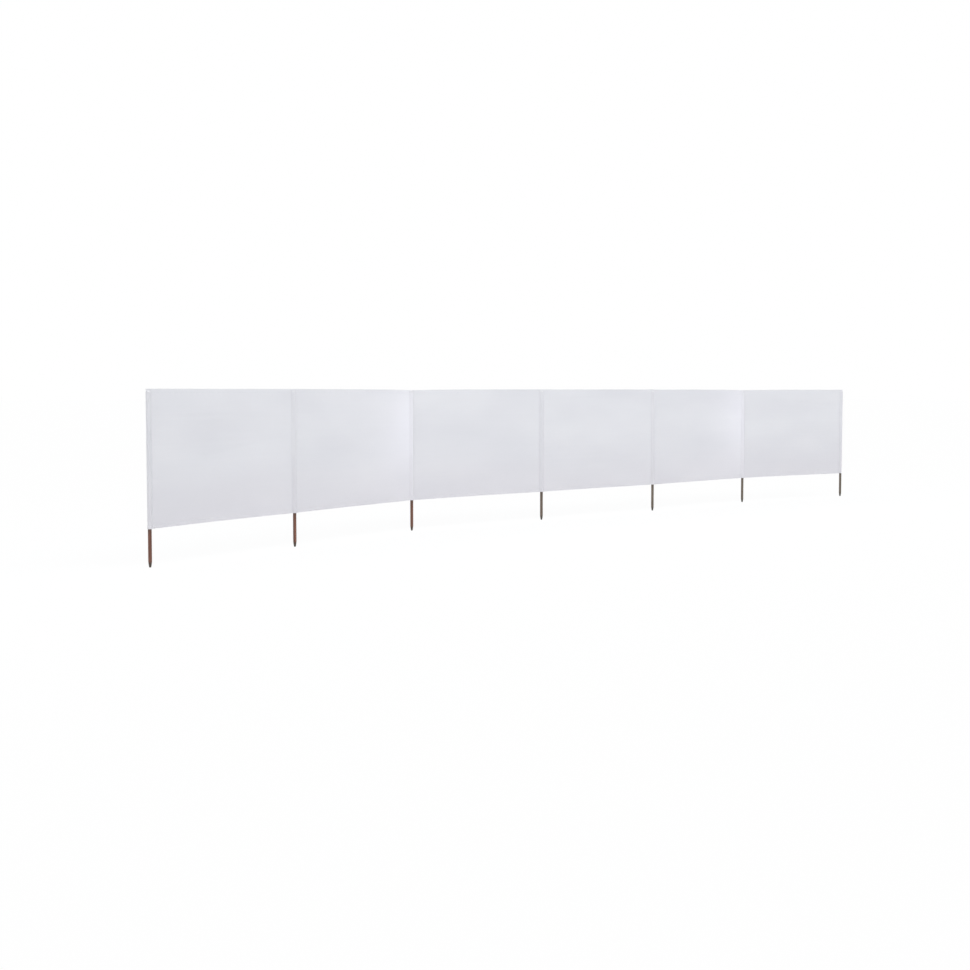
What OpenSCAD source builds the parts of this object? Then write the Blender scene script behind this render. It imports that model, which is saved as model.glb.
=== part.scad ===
// Beach windbreak: a long strip of white cloth in six bays. Between the bays,
// and at both ends, a round wooden pole stands in a sewn sleeve.
// Millimetres, +Z up. The origin is on the flat end of the middle pole's foot.
// The two middle bays lie along X, and the front of the cloth looks along -Y.

/* [Cloth] */
// Height of the cloth from its lower hem to its top edge
cloth_h = 800; // [600:10:1200]
// Distance between the axes of neighbouring poles
bay_w = 1333; // [800:1:1600]
// Thickness of one layer of cloth
cloth_t = 1.2; // [0.8:0.1:2]
// How far the middle of a bay bows to the back, out of the straight line between its sleeves
billow = 15; // [0:1:40]

/* [Poles] */
// Diameter of the round poles
pole_d = 22; // [16:1:30]
// Length of pole that shows below the lower hem
foot_l = 220; // [120:5:400]
// Depth of the sewn-flat cloth above the top of a pole
head_h = 20; // [10:1:60]
// Length of the sharpened stretch at the foot
point_l = 30; // [15:1:60]
// Diameter of the blunt flat end of the point
point_d = 12; // [6:1:15]

/* [Sleeves] */
// Slack between a pole and its sleeve, on the radius and above the pole
sleeve_gap = 0.3; // [0.2:0.1:1]
// Distance from the round of a sleeve to the end of its slope, where its two layers meet
slope_w = 7; // [4:1:20]
// Width of the flat sewn edge beyond the slope, which a bay is sewn to
seam_w = 6; // [3:1:15]
// Slack left between a sleeve's sewn edge and the end of its bay
seam_slack = 0.1; // [0.05:0.05:0.5]

/* [Line on the ground] */
// Turn of the line at the second pole, anticlockwise from above, in degrees
turn_2 = -1; // [-30:1:30]
// Turn of the line at the third pole
turn_3 = -15; // [-30:1:30]
// Turn of the line at the fifth pole
turn_5 = 3; // [-30:1:30]
// Turn of the line at the sixth pole
turn_6 = -10; // [-30:1:30]

/* [Hidden] */

POLES = 7;
MIDDLE_POLE = 4;
CLOTH_COLOUR = [0.88, 0.89, 0.91];
SLEEVE_COLOUR = [0.85, 0.86, 0.88];
WOOD_COLOUR = [0.45, 0.30, 0.25];
ROUND_SIDES = 96;   // sides that draw the poles and sleeves
BOW_STEPS = 32;     // flats that a bay's long shallow bow is drawn with
OVER = 1;           // how far a cutting shape runs past what it cuts
BITE = 0.05;        // how far a slope runs into the round it leaves, to cross it cleanly

pole_r = pole_d / 2;
pole_l = foot_l + cloth_h - head_h;
inner_r = pole_r + sleeve_gap;
outer_r = inner_r + cloth_t;
slope_end = outer_r + slope_w;
reach = slope_end + seam_w;
head_r = 1.5 * cloth_t;

// Heading of each bay from above, counted from X; the two middle bays have none.
headings = [-turn_3 - turn_2, -turn_3, 0, 0, turn_5, turn_5 + turn_6];

// Where a pole stands: bays add up from the middle pole, to the right or to the left.
function step(b) = bay_w * [cos(headings[b - 1]), sin(headings[b - 1])];
function pole_at(k) =
    k == MIDDLE_POLE ? [0, 0] :
    k > MIDDLE_POLE ? pole_at(k - 1) + step(k - 1) :
    pole_at(k + 1) - step(k);

// Angle, seen from a pole, at which the slope towards the sewn edge leaves the sleeve's round.
slope_angle = acos(outer_r / norm([slope_end, cloth_t])) + atan2(cloth_t, slope_end);
function on_round(r, angle) = r * [cos(angle), sin(angle)];

// Where the inside of the slope reaches the middle of the cloth.
slope_dir = [slope_end, cloth_t] - on_round(outer_r, slope_angle);
pocket_corner = on_round(inner_r - BITE, slope_angle);
pocket_end = pocket_corner[0] - pocket_corner[1] * slope_dir[0] / slope_dir[1];

// A round pole, sharpened at the foot to a blunt end.
module pole(k) {
    profile = [[0, 0], [point_d / 2, 0], [pole_r, point_l], [pole_r, pole_l], [0, pole_l]];
    color(WOOD_COLOUR)
        translate(pole_at(k))
            rotate_extrude($fn = ROUND_SIDES)
                polygon(profile);
}

// One side of a sleeve from above: the slope from the round to the flat sewn edge.
module sleeve_side() {
    from_round = on_round(outer_r - BITE, slope_angle);
    polygon([from_round,
             [slope_end, cloth_t], [reach, cloth_t],
             [reach, -cloth_t], [slope_end, -cloth_t],
             [from_round[0], -from_round[1]]]);
}

// The room inside one side of a sleeve, between its two layers.
module pocket_side() {
    polygon([pocket_corner, [pocket_end, 0], [pocket_corner[0], -pocket_corner[1]]]);
}

// The sewn-flat cloth above a pole, from its middle to the sewn edge.
module head_side() {
    translate([0, -cloth_t])
        square([reach, 2 * cloth_t]);
}

// Places its children on each side of a pole that has a bay, turned towards that bay.
module on_bay_sides(k) {
    if (k > 1)
        rotate(headings[k - 2] + 180)
            children();
    if (k < POLES)
        rotate(headings[k - 1])
            children();
}

// A pole's sleeve: two layers round the pole, sewn together beside it and flat above it.
module pole_sleeve(k) {
    pole_top = pole_l + sleeve_gap;
    color(SLEEVE_COLOUR)
        translate(pole_at(k)) {
            difference() {
                translate([0, 0, foot_l])
                    linear_extrude(pole_top + cloth_t - foot_l) {
                        circle(outer_r, $fn = ROUND_SIDES);
                        on_bay_sides(k) sleeve_side();
                    }
                translate([0, 0, foot_l - OVER])
                    linear_extrude(pole_top - foot_l + OVER) {
                        circle(inner_r, $fn = ROUND_SIDES);
                        on_bay_sides(k) pocket_side();
                    }
            }
            translate([0, 0, pole_top])
                linear_extrude(foot_l + cloth_h - pole_top) {
                    circle(head_r, $fn = ROUND_SIDES);
                    on_bay_sides(k) head_side();
                }
        }
}

// One bay of cloth, bowed a little to the back between the sewn edges of two sleeves.
module fabric_bay(b) {
    width = bay_w - 2 * (reach + seam_slack);
    function bow(x) = 4 * billow * x * (width - x) / (width * width);
    stations = [for (i = [0 : BOW_STEPS]) i * width / BOW_STEPS];
    back = [for (x = stations) [x, bow(x) + cloth_t / 2]];
    front = [for (x = stations) [width - x, bow(x) - cloth_t / 2]];
    color(CLOTH_COLOUR)
        translate(pole_at(b))
            rotate(headings[b - 1])
                translate([reach + seam_slack, 0, foot_l])
                    linear_extrude(cloth_h)
                        polygon(concat(back, front));
}

pole(1);  // pole_1
pole(2);  // pole_2
pole(3);  // pole_3
pole(4);  // pole_4
pole(5);  // pole_5
pole(6);  // pole_6
pole(7);  // pole_7
pole_sleeve(1);  // pole_sleeve_1
pole_sleeve(2);  // pole_sleeve_2
pole_sleeve(3);  // pole_sleeve_3
pole_sleeve(4);  // pole_sleeve_4
pole_sleeve(5);  // pole_sleeve_5
pole_sleeve(6);  // pole_sleeve_6
pole_sleeve(7);  // pole_sleeve_7
fabric_bay(1);  // fabric_bay_1
fabric_bay(2);  // fabric_bay_2
fabric_bay(3);  // fabric_bay_3
fabric_bay(4);  // fabric_bay_4
fabric_bay(5);  // fabric_bay_5
fabric_bay(6);  // fabric_bay_6
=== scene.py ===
"""Beach windbreak: bowed cloth bays, sewn sleeves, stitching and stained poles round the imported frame.

Everything is in metres in the frame's own axes: +Z up, +X along the line of poles, and the front of the
cloth looks along -Y. Heights, reaches and the line on the ground are read from the frame's nodes.
"""

import logging
import math
from dataclasses import dataclass, field
from enum import Enum
from typing import Sequence

import bpy
import numpy as np
from mathutils import Euler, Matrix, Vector


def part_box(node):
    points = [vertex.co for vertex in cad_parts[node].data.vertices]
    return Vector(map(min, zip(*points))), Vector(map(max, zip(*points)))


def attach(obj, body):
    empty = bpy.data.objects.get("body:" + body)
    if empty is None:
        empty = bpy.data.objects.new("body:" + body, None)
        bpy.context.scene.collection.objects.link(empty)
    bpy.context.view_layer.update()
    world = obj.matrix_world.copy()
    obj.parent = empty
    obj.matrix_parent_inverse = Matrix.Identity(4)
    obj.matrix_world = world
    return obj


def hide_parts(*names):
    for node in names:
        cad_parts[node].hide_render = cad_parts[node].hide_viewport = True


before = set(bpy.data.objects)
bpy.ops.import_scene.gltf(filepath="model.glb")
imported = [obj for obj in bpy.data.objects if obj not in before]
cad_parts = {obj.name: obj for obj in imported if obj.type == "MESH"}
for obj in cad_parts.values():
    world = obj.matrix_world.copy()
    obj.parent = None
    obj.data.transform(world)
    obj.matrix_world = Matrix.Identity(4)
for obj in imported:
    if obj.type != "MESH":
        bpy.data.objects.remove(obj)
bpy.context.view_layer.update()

LOG = logging.getLogger("windbreak")
MM = 0.001
POLES = 7
BAYS = POLES - 1
MIDDLE_POLE = 4
BODY = "root"
CLOTH_MAP = "cloth_metres"
UP = np.array([0.0, 0.0, 1.0])
WHITE = (1.0, 1.0, 1.0, 1.0)
# Colour sockets of a Mix node: its first and second colour, and its result.
FIRST, SECOND, MIXED = 6, 7, 2

Array = np.ndarray
Material = bpy.types.Material
Node = bpy.types.Node
Piece = bpy.types.Object
Socket = bpy.types.NodeSocket
Tree = bpy.types.NodeTree


class Face(Enum):
    """A face of the cloth, as the sign of its outward direction across the line of poles."""

    FRONT = -1.0
    BACK = 1.0


class Slot(Enum):
    """The record's material slots."""

    SCREEN = "screen_cloth"
    SLEEVE = "sleeve_cloth"
    WOOD = "pole_wood"


# Small helpers


def linear(hex_colour: str) -> tuple[float, float, float, float]:
    """Turns an sRGB hex colour to linear light.

    Args:
        hex_colour: six hex digits after a #.

    Returns:
        Linear red, green, blue and an alpha of 1.
    """
    parts = [int(hex_colour[i:i + 2], 16) / 255 for i in (1, 3, 5)]
    red, green, blue = [p / 12.92 if p <= 0.04045 else ((p + 0.055) / 1.055) ** 2.4 for p in parts]
    return (red, green, blue, 1.0)


def smoothstep(x: Array, low: float, high: float) -> Array:
    """A curve that leaves 0 smoothly where x is low and reaches 1 smoothly where x is high."""
    t = np.clip((x - low) / (high - low), 0.0, 1.0)
    return t * t * (3.0 - 2.0 * t)


def bump_at(x: Array, centre: float, width: float) -> Array:
    """A bell curve of height 1 with its top at centre and width as its standard deviation."""
    return np.exp(-0.5 * ((x - centre) / width) ** 2)


def wave(turns: Array) -> Array:
    """A sine that repeats once a turn."""
    return np.sin(2 * math.pi * turns)


def spaced(stops: Sequence[tuple[float, float]], end: float) -> Array:
    """Joins stretches of even steps into one rising list.

    Args:
        stops: pairs of a place and the step used from there to the next place.
        end: the last place.

    Returns:
        The places, with both ends of every stretch among them.
    """
    ends = [start for start, _ in stops[1:]] + [end]
    parts = [np.linspace(start, stop, max(1, round((stop - start) / step)), endpoint=False)
             for (start, step), stop in zip(stops, ends)]
    return np.concatenate(parts + [[end]])


def add_node(tree: Tree, kind: str, settings: dict | None = None, links: dict | None = None) -> Node:
    """Adds a shader node with its settings and links.

    Args:
        tree: the node tree that it goes into.
        kind: the node's type name after ShaderNode.
        settings: attribute names, or socket names or numbers, to their values.
        links: input socket names or numbers to the sockets that feed them. A node stands for its
            first output.

    Returns:
        The new node.
    """
    node = tree.nodes.new(f"ShaderNode{kind}")
    for key, value in (settings or {}).items():
        if isinstance(key, str) and hasattr(node, key):
            setattr(node, key, value)
        else:
            node.inputs[key].default_value = value
    for key, source in (links or {}).items():
        tree.links.new(source.outputs[0] if isinstance(source, Node) else source, node.inputs[key])
    return node


def new_material(name: str) -> tuple[Material, Tree]:
    """Makes a material with an empty node tree.

    Args:
        name: the material's name.

    Returns:
        The material and its node tree.
    """
    material = bpy.data.materials.new(name)
    material.use_nodes = True
    material.node_tree.nodes.clear()
    return material, material.node_tree


def seen_directly(tree: Tree) -> Node:
    """Tells whether a surface is seen by the camera, or in gloss or glass.

    Args:
        tree: the node tree that it goes into.

    Returns:
        A node that gives 1 for those rays and 0 for the rays that carry light.
    """
    path = add_node(tree, "LightPath").outputs
    seen = path["Is Camera Ray"]
    for ray in ("Is Glossy Ray", "Is Transmission Ray"):
        seen = add_node(tree, "Math", {"operation": "MAXIMUM"}, {0: seen, 1: path[ray]})
    return seen


# Finishes


@dataclass(frozen=True)
class WovenPolyester:
    """Plain-woven white polyester, spun yarn, piece-dyed: matt, cool white, a little light comes through.

    The yarns are 0.5 mm apart on the real cloth. They are drawn 1.6 mm apart, because finer ones
    vanish in the render, and the hollows between them are darkened as painted shade. Thick and thin
    yarns give faint streaks along the cloth, and handling gives cloudy patches. The lower part is drawn
    darker and warmer, partly as sand and partly as painted shade towards the floor. Doubled cloth lets
    less light through, so the sleeves' copy is more opaque, and it is drawn a little darker as painted
    shade from the pole inside.

    Attributes:
        name: the material's name.
        light: the cloth where it is lightest.
        shade: the cloth where it is darkest.
        tones_from_to: the pattern's values at which the cloth is darkest and lightest.
        yarn_gap_shade: the painted shade deep between the yarns.
        yarn_gap_shade_share: how much of that painted shade the deepest places take.
        dust_and_shade: the colour that the lower part is drawn towards, partly sand and partly painted
            shade.
        dust_and_shade_share: how much of that colour the lower hem takes.
        dust_and_shade_from_to_m: the heights on the cloth between which that colour thins out.
        dust_and_shade_rag_m: how ragged its upper edge is.
        yarn_m: distance from yarn to yarn.
        yarn_height_m: how far a yarn's crown stands out.
        cloud_m: length and height of the cloudy patches.
        streak_m: length and height of the streaks.
        streak_share: how strong the streaks are beside the patches.
        see_through: share of the light that comes through.
        roughness: matt, as spun yarn is.
        ior: polyester's.
        sheen: the soft edge light of loose fibres.
    """

    name: str = "woven_white_polyester"
    light: str = "#F0EEF2"
    shade: str = "#EAE8ED"
    tones_from_to: tuple[float, float] = (0.38, 0.78)
    yarn_gap_shade: str = "#D5D6DB"
    yarn_gap_shade_share: float = 0.34
    dust_and_shade: str = "#E1D5DC"
    dust_and_shade_share: float = 0.16
    dust_and_shade_from_to_m: tuple[float, float] = (-0.12, 0.30)
    dust_and_shade_rag_m: float = 0.25
    yarn_m: float = 1.6 * MM
    yarn_height_m: float = 0.16 * MM
    cloud_m: tuple[float, float] = (0.80, 0.30)
    streak_m: tuple[float, float] = (10 / 9, 14 * MM)
    streak_share: float = 0.16
    see_through: float = 0.22
    roughness: float = 0.88
    ior: float = 1.57
    sheen: float = 0.08

    def material(self) -> Material:
        """Builds the shader.

        Returns:
            The cloth's material. It reads the cloth's own metric map, so the yarns follow the cloth.
        """
        material, tree = new_material(self.name)
        place = add_node(tree, "UVMap", {"uv_map": CLOTH_MAP})
        clouds = self.patches(tree, place, self.cloud_m, {"Roughness": 0.45})
        streaks = self.patches(tree, place, self.streak_m, {})
        tone = add_node(tree, "Math", {"operation": "MULTIPLY_ADD", 1: self.streak_share},
                        {0: streaks, 2: clouds})
        low, high = self.tones_from_to
        spread = add_node(tree, "MapRange", {"From Min": low, "From Max": high}, {"Value": tone})
        up = add_node(tree, "SeparateXYZ", {}, {0: place}).outputs[1]
        # The lower part is drawn darker and warmer: partly sand, partly painted shade towards the floor.
        ragged = add_node(tree, "Math", {"operation": "MULTIPLY_ADD", 1: -self.dust_and_shade_rag_m},
                          {0: clouds, 2: up})
        low, high = self.dust_and_shade_from_to_m
        dusty_and_shaded = add_node(tree, "MapRange",
                         {"interpolation_type": "SMOOTHSTEP", "From Min": low, "From Max": high,
                          "To Min": self.dust_and_shade_share, "To Max": 0.0}, {"Value": ragged})
        weave = self.weave_height(tree, place)
        # Painted shade: the hollows between the yarns are drawn greyer.
        deep = add_node(tree, "MapRange", {"To Min": self.yarn_gap_shade_share, "To Max": 0.0}, {"Value": weave})
        cloth = add_node(tree, "Mix", {"data_type": "RGBA", FIRST: linear(self.shade),
                                       SECOND: linear(self.light)}, {0: spread})
        # The lower part's sand and painted shade go on first, then the painted shade between the yarns.
        for share, tint in ((dusty_and_shaded, self.dust_and_shade), (deep, self.yarn_gap_shade)):
            cloth = add_node(tree, "Mix", {"data_type": "RGBA", SECOND: linear(tint)},
                             {0: share, FIRST: cloth.outputs[MIXED]})
        colour = cloth.outputs[MIXED]
        bump = add_node(tree, "Bump", {"Strength": 0.8, "Distance": self.yarn_height_m},
                        {"Height": weave})
        face = add_node(tree, "BsdfPrincipled",
                        {"Roughness": self.roughness, "IOR": self.ior, "Sheen Weight": self.sheen,
                         "Sheen Roughness": 0.5}, {"Base Color": colour, "Normal": bump})
        through = add_node(tree, "BsdfTranslucent", {}, {"Color": colour})
        both = add_node(tree, "MixShader", {0: self.see_through}, {1: face, 2: through})
        add_node(tree, "OutputMaterial", {}, {"Surface": both})
        return material

    def patches(self, tree: Tree, place: Node, size: tuple[float, float], settings: dict) -> Node:
        """Draws patches of tone on the flat cloth.

        Args:
            tree: the node tree.
            place: gives the place on the cloth in metres.
            size: how long and how tall a patch is.
            settings: what the noise has besides.

        Returns:
            The noise.
        """
        long, tall = size
        scaled = add_node(tree, "Mapping", {"Scale": (1 / long, 1 / tall, 1.0)}, {"Vector": place})
        return add_node(tree, "TexNoise", {"Scale": 1.0, "Detail": 2.0, **settings}, {"Vector": scaled})

    def weave_height(self, tree: Tree, place: Node) -> Node:
        """Draws a plain weave: warp and weft yarns that go over and under each other in turn.

        Args:
            tree: the node tree.
            place: gives the place on the cloth in metres.

        Returns:
            The weave's height from 0 to 1: a crown on each crossing, and every other one a little higher.
        """
        lift = 0.15
        half_turns = math.pi / self.yarn_m
        turns = add_node(tree, "VectorMath", {"operation": "SCALE", "Scale": half_turns}, {0: place})
        axes = add_node(tree, "SeparateXYZ", {}, {0: turns}).outputs
        warp, weft = [add_node(tree, "Math", {"operation": "SINE"}, {0: axes[i]}) for i in (0, 1)]
        crossing = add_node(tree, "Math", {"operation": "MULTIPLY"}, {0: warp, 1: weft})
        crown = add_node(tree, "Math", {"operation": "ABSOLUTE"}, {0: crossing})
        over = add_node(tree, "Math", {"operation": "MULTIPLY_ADD", 1: lift, 2: lift}, {0: crossing})
        return add_node(tree, "Math", {"operation": "MULTIPLY_ADD", 1: 1 - 2 * lift}, {0: crown, 2: over})


@dataclass(frozen=True)
class SewingThread:
    """Core-spun white polyester thread: rounder and glossier than cloth, so it reads as small dashes.

    Its ply twist, 0.5 mm apart on the real thread, is too fine to show. It is drawn in bands 6.3 mm
    apart, so that the stitches differ a little in tone.

    Attributes:
        name: the material's name.
        light: the thread's crowns.
        shade: the hollows between its plies.
        roughness: a little glossier than the cloth.
        ior: polyester's.
        band_m: distance from band to band.
    """

    name: str = "white_sewing_thread"
    light: str = "#DDDFE4"
    shade: str = "#C9CBD1"
    roughness: float = 0.55
    ior: float = 1.57
    band_m: float = 2 * math.pi * MM

    def material(self) -> Material:
        """Builds the shader.

        Returns:
            The thread's material, with its ply twist as soft bands.
        """
        material, tree = new_material(self.name)
        place = add_node(tree, "TexCoord").outputs["Object"]
        # Diagonal bands of a wave texture are 0.2 pi apart along an axis.
        twist = add_node(tree, "TexWave", {"Scale": 0.2 * math.pi / self.band_m, "Distortion": 1.0,
                                           "bands_direction": "DIAGONAL"}, {"Vector": place})
        colour = add_node(tree, "Mix", {"data_type": "RGBA", FIRST: linear(self.shade),
                                        SECOND: linear(self.light)}, {0: twist.outputs["Fac"]})
        shader = add_node(tree, "BsdfPrincipled", {"Roughness": self.roughness, "IOR": self.ior},
                          {"Base Color": colour.outputs[MIXED]})
        add_node(tree, "OutputMaterial", {}, {"Surface": shader})
        return material


@dataclass(frozen=True)
class StainedPine:
    """Turned pine in a thin reddish-brown stain: grain lines run up the pole, and the point is drawn
    darker.

    Late wood takes the stain darker than early wood. The grain is drawn in lines 1.5 to 3 mm wide. The
    stain has greyed towards one end of the line. The point is drawn darker, and painted shade darkens
    the wood under and inside the sleeves' mouths.

    Attributes:
        hem_z: height of the cloth's lower hem.
        name: the material's name.
        early: stained early wood.
        late: stained late wood.
        greyed_early: early wood where the stain has greyed.
        greyed_late: late wood where the stain has greyed.
        darkened: the colour of the darker point, and of the painted shade under the hem.
        pores: the dark marks of pores and resin ducts.
        grain_m: size of the fine grain across the pole and up it.
        ring_m: size of the year rings' bends across the pole and up it.
        ring_every: step of the rings' noise from one ring to the next.
        ring_weight: how strong the rings are beside the fine grain.
        early_from_to: the pattern's values at which late wood turns to early wood.
        pore_m: size of a pore's mark across the pole and up it.
        pores_from_to: the noise's values between which a pore gets dark.
        pore_share: how dark it gets.
        greys_from_to_m: the places along X between which the stain gets grey.
        grey_share: how grey it gets.
        tip_dark_from_to_m: the heights between which the point gets dark.
        tip_dark_share: how dark it gets.
        hem_shade_from_to_m: the heights from the hem between which its painted shade sets in.
        hem_shade_share: how dark that painted shade gets.
        rag_m: how ragged the edges of these dark places are.
        rag_size_m: size of the rags.
        fibre_height_m: how far the grain stands out.
        roughness: thin stain leaves the wood matt.
        ior: wood's.
    """

    hem_z: float
    name: str = "stained_pine"
    early: str = "#835645"
    late: str = "#4F3128"
    greyed_early: str = "#756D62"
    greyed_late: str = "#544D44"
    darkened: str = "#403C34"
    pores: str = "#2E1E19"
    grain_m: tuple[float, float] = (1.5 * MM, 0.16)
    ring_m: tuple[float, float] = (5 * MM, 0.22)
    ring_every: float = 0.09
    ring_weight: float = 2.6
    early_from_to: tuple[float, float] = (0.46, 0.80)
    pore_m: tuple[float, float] = (0.8 * MM, 9 * MM)
    pores_from_to: tuple[float, float] = (0.63, 0.70)
    pore_share: float = 0.7
    greys_from_to_m: tuple[float, float] = (-1.5, 0.2)
    grey_share: float = 0.85
    tip_dark_from_to_m: tuple[float, float] = (0.046, 0.028)
    tip_dark_share: float = 0.85
    hem_shade_from_to_m: tuple[float, float] = (-0.030, 0.008)
    hem_shade_share: float = 0.45
    rag_m: float = 16 * MM
    rag_size_m: float = 6.25 * MM
    fibre_height_m: float = 0.3 * MM
    roughness: float = 0.62
    ior: float = 1.5

    def material(self) -> Material:
        """Builds the shader.

        Returns:
            The wood's material, which changes in tone from pole to pole along the line.
        """
        material, tree = new_material(self.name)
        place = add_node(tree, "TexCoord").outputs["Object"]
        axes = add_node(tree, "SeparateXYZ", {}, {0: place}).outputs
        grain = self.fibres(tree, place, self.grain_m, 0.45)
        rings = self.fibres(tree, place, self.ring_m, 0.35)
        pores = self.fibres(tree, place, self.pore_m, 0.8)
        late_wood = add_node(tree, "Math", {"operation": "PINGPONG", 1: self.ring_every}, {0: rings})
        figure = add_node(tree, "Math", {"operation": "MULTIPLY_ADD", 1: self.ring_weight},
                          {0: late_wood, 2: grain})
        ragged = add_node(tree, "TexNoise", {"Scale": 1 / self.rag_size_m, "Detail": 2.0},
                          {"Vector": place})
        level = add_node(tree, "Math", {"operation": "MULTIPLY_ADD", 1: self.rag_m},
                         {0: ragged, 2: axes[2]})
        # Painted shade: the wood just under the hem, and inside the sleeve, is darkened where the
        # sleeve's mouth shades it.
        hem_shade_from_to = tuple(self.hem_z + z for z in self.hem_shade_from_to_m)
        ramps = ((figure, self.early_from_to, 1.0),
                 (axes[0], self.greys_from_to_m, self.grey_share),
                 (pores, self.pores_from_to, self.pore_share),
                 (level, self.tip_dark_from_to_m, self.tip_dark_share),
                 (level, hem_shade_from_to, self.hem_shade_share))
        early, grey, pitted, darkened, hem_shade = [
            add_node(tree, "MapRange", {"From Min": low, "From Max": high, "To Max": most},
                     {"Value": value}) for value, (low, high), most in ramps]
        dark = add_node(tree, "Math", {"operation": "MAXIMUM"}, {0: darkened, 1: hem_shade})
        tones = ((self.late, self.early), (self.greyed_late, self.greyed_early))
        new_wood, old_wood = [
            add_node(tree, "Mix", {"data_type": "RGBA", FIRST: linear(deep), SECOND: linear(pale)},
                     {0: early}) for deep, pale in tones]
        wood = add_node(tree, "Mix", {"data_type": "RGBA"},
                        {0: grey, FIRST: new_wood.outputs[MIXED], SECOND: old_wood.outputs[MIXED]})
        # The darker point and the painted shade under the hem share one dark colour.
        for share, tint in ((pitted, self.pores), (dark, self.darkened)):
            wood = add_node(tree, "Mix", {"data_type": "RGBA", SECOND: linear(tint)},
                            {0: share, FIRST: wood.outputs[MIXED]})
        bump = add_node(tree, "Bump", {"Strength": 0.5, "Distance": self.fibre_height_m},
                        {"Height": figure})
        shader = add_node(tree, "BsdfPrincipled", {"Roughness": self.roughness, "IOR": self.ior},
                          {"Base Color": wood.outputs[MIXED], "Normal": bump})
        add_node(tree, "OutputMaterial", {}, {"Surface": shader})
        return material

    def fibres(self, tree: Tree, place: Socket, size: tuple[float, float], scale: float) -> Node:
        """Draws marks that are stretched up the pole.

        Args:
            tree: the node tree.
            place: a socket with the place in metres.
            size: their size across the pole and up it.
            scale: how many turns of the noise go on that size.

        Returns:
            The noise.
        """
        across, along = size
        drawn = add_node(tree, "Mapping", {"Scale": (1 / across, 1 / across, 1 / along)},
                         {"Vector": place})
        return add_node(tree, "TexNoise", {"Scale": scale, "Detail": 3.0, "Roughness": 0.6,
                                           "Distortion": 0.3}, {"Vector": drawn})


@dataclass(frozen=True)
class PalePaper:
    """White studio paper: matt, and bright enough from the camera to run into the white behind it.

    Attributes:
        name: the material's name.
        colour: the paper.
        fibre_m: size of the paper's fibres.
        near_glow: how white it is drawn by the line of poles.
        far_glow: how white it is drawn far from the line.
        near_half_m: half the length and depth of the oval round the line.
        fades_from_to: where the one turns to the other, in sizes of that oval.
    """

    name: str = "white_studio_paper"
    colour: str = "#F6F4F8"
    fibre_m: float = 10 / 9 * MM
    near_glow: float = 0.92
    far_glow: float = 0.985
    near_half_m: tuple[float, float] = (4.8, 1.6)
    fades_from_to: tuple[float, float] = (0.7, 1.5)

    def material(self) -> Material:
        """Builds the shader.

        Returns:
            The floor's material: mostly plain white where it is seen, with the object's soft shadow kept
            near the line of poles.
        """
        material, tree = new_material(self.name)
        grain = add_node(tree, "TexNoise", {"Scale": 1 / self.fibre_m, "Detail": 2.0})
        bump = add_node(tree, "Bump", {"Strength": 0.05, "Distance": 0.1 * MM}, {"Height": grain})
        paper = add_node(tree, "BsdfDiffuse", {"Color": linear(self.colour)}, {"Normal": bump})
        white = add_node(tree, "Emission", {"Color": WHITE, "Strength": 1.0})
        half_long, half_deep = self.near_half_m
        place = add_node(tree, "TexCoord").outputs["Object"]
        round_line = add_node(tree, "Mapping", {"Scale": (1 / half_long, 1 / half_deep, 0.0)},
                              {"Vector": place})
        away = add_node(tree, "VectorMath", {"operation": "LENGTH"}, {0: round_line}).outputs["Value"]
        low, high = self.fades_from_to
        glow = add_node(tree, "MapRange",
                        {"interpolation_type": "SMOOTHSTEP", "From Min": low, "From Max": high,
                         "To Min": self.near_glow, "To Max": self.far_glow}, {"Value": away})
        share = add_node(tree, "Math", {"operation": "MULTIPLY"}, {0: seen_directly(tree), 1: glow})
        both = add_node(tree, "MixShader", {}, {0: share, 1: paper, 2: white})
        add_node(tree, "OutputMaterial", {}, {"Surface": both})
        return material


# The line on the ground


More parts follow.
